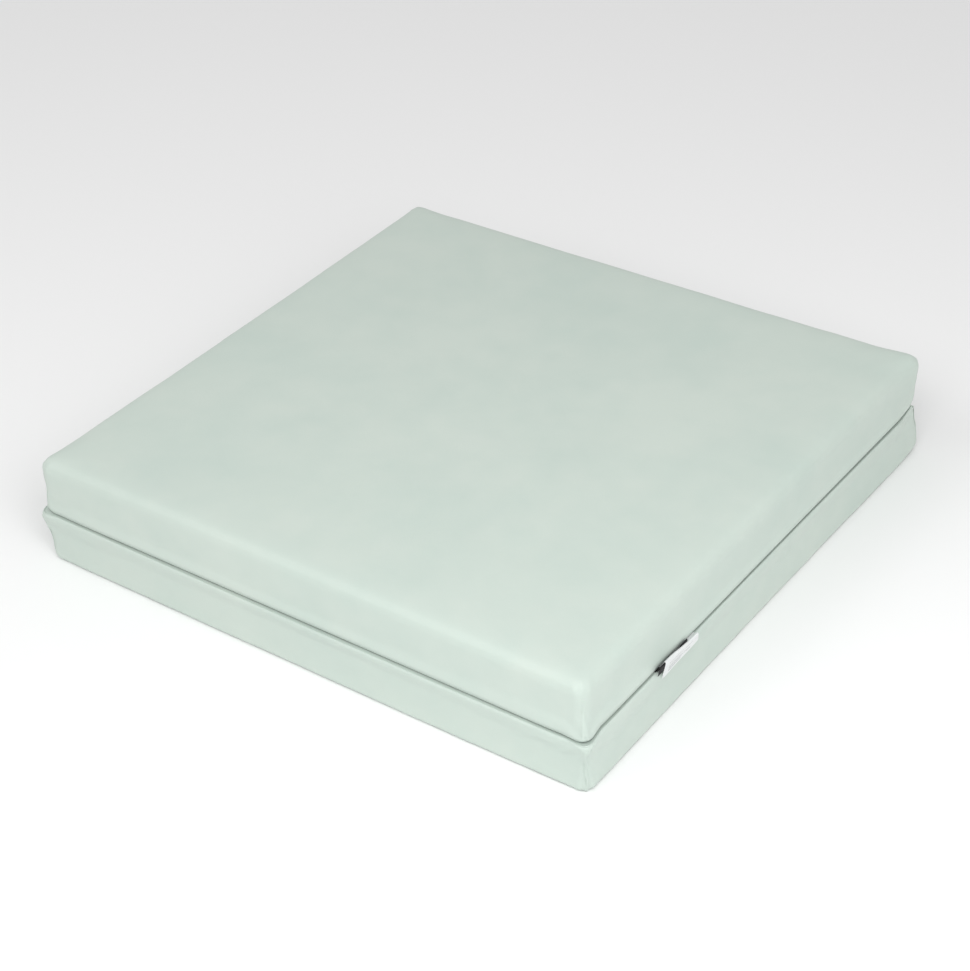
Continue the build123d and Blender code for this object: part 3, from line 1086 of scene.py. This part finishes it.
WEB_THICKNESS = 0.6 * MM
WEB_LOOP = 1.75 * MM  # radius of the web's fold
WEB_TURN = 2 * MM  # from the hinge line to where the web starts to turn
LOOP_ROWS = 64
LOOP_BEND = 1.6 * MM  # rounding of a loop's turns
LOOP_LEAN = 5 * MM  # of a loop's hanging end, towards its left
LOOP_RIPPLE = 0.35 * MM
TAPE_STOCK = 0.4 * MM  # thickness of the label and the ribbon
LABEL_COLUMNS = 48
RIBBON_COLUMNS = 40
PRINT_START, PRINT_PITCH, PRINT_HEIGHT = 0.66, 0.075, 0.36  # shares of the loop, and of a row
PRINT_LEFT = 0.12
PRINT_ENDS = (0.82, 0.6, 0.74, 0.5)  # where each row of print ends
PRINT_WORDS, PRINT_WORD_SHARE = 23, 0.86


def make_hinge_web():
    """One web, sewn to both base panels, that folds round the hinge line."""
    path = []
    turn = HINGE_X + WEB_TURN
    straight = strip_high.x - turn
    for step in np.linspace(0, 1, 24):
        path.append((strip_high.x - step * straight, FOLD_Z - WEB_LOOP))
    for angle in np.linspace(0, math.pi, 14)[1:-1]:
        path.append((turn - WEB_LOOP * math.sin(angle), FOLD_Z - WEB_LOOP * math.cos(angle)))
    for step in np.linspace(1, 0, 24):
        path.append((strip_high.x - step * straight, FOLD_Z + WEB_LOOP))
    path = np.array(path)

    def place(u, v):
        at = u * (len(path) - 1)
        index = np.arange(len(path))
        x, z = (np.interp(at, index, path[:, axis]) for axis in range(2))
        y = strip_low.y + v * (strip_high.y - strip_low.y)
        return x, y, z

    web = add_sheet("hinge_web", len(path) - 1, 60, place)
    thicken(web, WEB_THICKNESS)
    smooth(web, 50)
    web.data.materials.append(BASE)
    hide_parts("lower_hinge_strip", "upper_hinge_strip")
    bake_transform(web)


def woven_loop(name, centre_y, width, left, right, columns):
    """A tape sewn at the base seam and folded over, its left and right ends' paths in mm."""
    paths = []
    for corners in (left, right):
        in_metres = [(x * MM, z * MM) for x, z in corners]
        paths.append(rounded_path(in_metres, LOOP_BEND, LOOP_ROWS + 1))

    def place(u, v):
        ease = u * u * (3 - 2 * u)
        index = np.arange(LOOP_ROWS + 1)
        x, z = (
            (1 - ease) * np.interp(v * LOOP_ROWS, index, paths[0][:, axis])
            + ease * np.interp(v * LOOP_ROWS, index, paths[1][:, axis])
            for axis in range(2)
        )
        ripple = LOOP_RIPPLE * np.sin(u * 9 + 1) * ramp(v, 0.45, 1.0)
        lean_back = LOOP_LEAN * (1 - u) * ramp(v, 0.5, 1.0)
        return x + ripple, centre_y + (u - 0.5) * width - lean_back, z

    return add_sheet(name, columns, LOOP_ROWS, place)


def make_label():
    """The care label, drawn into the gap at its right end, with bars for its print."""
    centre = (label_low.y + label_high.y) / 2
    width = label_high.y - label_low.y
    label = woven_loop(
        "label", centre, width,
        [(462, 85.4), (472, 87.6), (474.5, 99.0), (477.4, 98.4), (475.8, 86), (474.6, 74.0)],
        [(462, 86.0), (472, 87.4), (473.4, 89.4), (475.4, 88.8), (475.2, 83), (474.6, 77.0)],
        LABEL_COLUMNS,
    )
    for cover in covers.values():
        hug(label, cover, 0.5 * MM)
    label.data.materials.clear()
    for material in (LABEL, PRINT):
        label.data.materials.append(material)
    for face in label.data.polygons:
        u = face.index % LABEL_COLUMNS / LABEL_COLUMNS
        row = (face.index // LABEL_COLUMNS / LOOP_ROWS - PRINT_START) / PRINT_PITCH
        in_row = 0 <= row < len(PRINT_ENDS) and row % 1 < PRINT_HEIGHT
        printed = in_row and PRINT_LEFT < u < PRINT_ENDS[int(row)]
        face.material_index = int(printed and u * PRINT_WORDS % 1 < PRINT_WORD_SHARE)
    thicken(label, TAPE_STOCK)
    smooth(label, 50)
    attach(label, "lower_section")
    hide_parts("care_label")


def make_ribbon():
    """The black ribbon, sewn in behind the label."""
    centre = (ribbon_low.y + ribbon_high.y) / 2
    width = ribbon_high.y - ribbon_low.y
    ribbon = woven_loop(
        "ribbon", centre, width,
        [(462, 86.0), (471, 87.0), (474.6, 97.4), (476.4, 96.6), (475.0, 86.0)],
        [(459, 86.0), (471, 87.0), (471.8, 95.0), (473.4, 94.6), (473.0, 86.0)],
        RIBBON_COLUMNS,
    )
    for cover in covers.values():
        hug(ribbon, cover, 0.4 * MM)
    thicken(ribbon, TAPE_STOCK)
    smooth(ribbon, 50)
    finish_piece(ribbon, RIBBON, "ribbon_black", "lower_section", "ribbon_tab")


make_hinge_web()
make_label()
make_ribbon()

# --- the room ----------------------------------------------------------------------------

CAMERA_AZIMUTH = 37.53
CAMERA_ELEVATION = 35.25
CAMERA_ROLL = -3.306
CAMERA_DISTANCE = 3.2605
CAMERA_AIM = (-0.0091, -0.0447)  # from the fold's middle, to the view's right and up
LENS = 82.14


def make_camera():
    azimuth, elevation, roll = (
        math.radians(angle) for angle in (CAMERA_AZIMUTH, CAMERA_ELEVATION, CAMERA_ROLL)
    )
    level = math.cos(elevation)
    ahead = Vector((-math.sin(azimuth) * level, math.cos(azimuth) * level, -math.sin(elevation)))
    right = ahead.cross(Vector((0, 0, 1))).normalized()
    up = right.cross(ahead)
    aim = Vector((0, 0, FOLD_Z)) + right * CAMERA_AIM[0] + up * CAMERA_AIM[1]
    turned_right = right * math.cos(roll) + up * math.sin(roll)
    turned_up = up * math.cos(roll) - right * math.sin(roll)
    axes = Matrix((turned_right, turned_up, -ahead)).transposed().to_4x4()
    data = bpy.data.cameras.new("camera")
    data.sensor_fit = "HORIZONTAL"
    data.sensor_width = 36
    data.lens = LENS
    camera = bpy.data.objects.new("camera", data)
    camera.matrix_world = Matrix.Translation(aim - ahead * CAMERA_DISTANCE) @ axes
    scene.collection.objects.link(camera)
    scene.camera = camera


WORLD_STRENGTH = 0.66
LIGHTS = {  # place, size in metres, power in watts
    "key": ((-1.6, -2.6, 3.0), 2.4, 34),
    "front": ((0.9, -1.1, 1.5), 0.9, 11),
    "right": ((2.6, -1.2, 1.6), 2.0, 20),
}


def make_light(name, place, size, power):
    bpy.ops.object.light_add(type="AREA", location=place)
    light = bpy.context.object
    light.name = name
    light.data.shape = "SQUARE"
    light.data.size = size
    light.data.energy = power
    light.rotation_euler = (Vector((0, 0, FOLD_Z)) - Vector(place)).to_track_quat("-Z", "Y").to_euler()


def make_room():
    bpy.ops.mesh.primitive_plane_add(size=40, location=(0, 0, 0))
    floor = bpy.context.object
    floor.name = "floor"
    paint = new_material(
        "floor_paint", Base_Color=rgba(0.93, 0.93, 0.93), Roughness=0.8, Specular_IOR_Level=0.1
    )[0]
    floor.data.materials.append(paint)
    world = bpy.data.worlds.new("studio")
    world.use_nodes = True
    background = world.node_tree.nodes["Background"].inputs
    background["Color"].default_value = rgba(1, 1, 1)
    background["Strength"].default_value = WORLD_STRENGTH
    scene.world = world
    for name, (place, size, power) in LIGHTS.items():
        make_light(name, place, size, power)
    scene.view_settings.view_transform = "Standard"


make_camera()
make_room()
